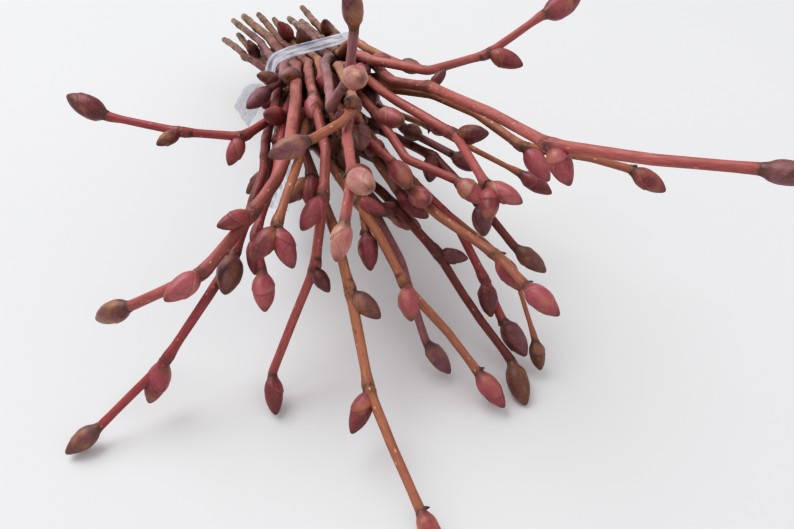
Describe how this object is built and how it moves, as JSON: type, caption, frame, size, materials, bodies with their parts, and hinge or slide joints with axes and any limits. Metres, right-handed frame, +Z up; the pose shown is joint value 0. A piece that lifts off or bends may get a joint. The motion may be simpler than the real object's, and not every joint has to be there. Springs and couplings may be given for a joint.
{
  "type": "tied bundle of budded twigs",
  "caption": "Short winter twigs with plump red buds, tied with a strip of pale film near their cut ends and lying on a table with the bud tips fanned out.",
  "frame": {"origin": "on the table, under the middle of the bundle's bounding box", "axes": "+Z up, +Y from the bud tips back towards the tie and the cut ends, +X to the right as seen from the bud tips"},
  "size_m": [0.1264, 0.1867, 0.0743],
  "materials": {
    "bark_coral": "satin coral-red bark with pale dots and grey leaf scars",
    "bark_red": "satin crimson bark with few pale dots",
    "bark_maroon": "satin dark red bark with a grey bloom",
    "bark_tan": "satin orange-brown bark with pale dots",
    "bark_mauve": "satin pink-mauve bark, greyish at the nodes",
    "film": "thin translucent film, creased lengthwise"
  },
  "bodies": {
    "root": {"film_tie": "film", "twig_01": "bark_red", "twig_02": "bark_coral", "twig_03": "bark_red", "twig_04": "bark_coral", "twig_05": "bark_mauve", "twig_06": "bark_tan", "twig_07": "bark_coral", "twig_08": "bark_tan", "twig_09": "bark_coral", "twig_10": "bark_coral", "twig_11": "bark_maroon", "twig_12": "bark_coral", "twig_13": "bark_coral", "twig_14": "bark_mauve", "twig_15": "bark_tan", "twig_16": "bark_tan", "twig_17": "bark_tan", "twig_18": "bark_red", "twig_19": "bark_maroon", "twig_20": "bark_tan", "twig_21": "bark_mauve", "twig_22": "bark_tan", "twig_23": "bark_coral", "twig_24": "bark_tan", "twig_25": "bark_tan", "twig_26": "bark_mauve", "twig_27": "bark_tan", "twig_28": "bark_red", "twig_29": "bark_tan", "twig_30": "bark_mauve", "twig_31": "bark_tan", "twig_32": "bark_maroon", "twig_33": "bark_tan", "twig_34": "bark_tan", "twig_35": "bark_tan", "twig_36": "bark_mauve"}
  },
  "joints": []
}
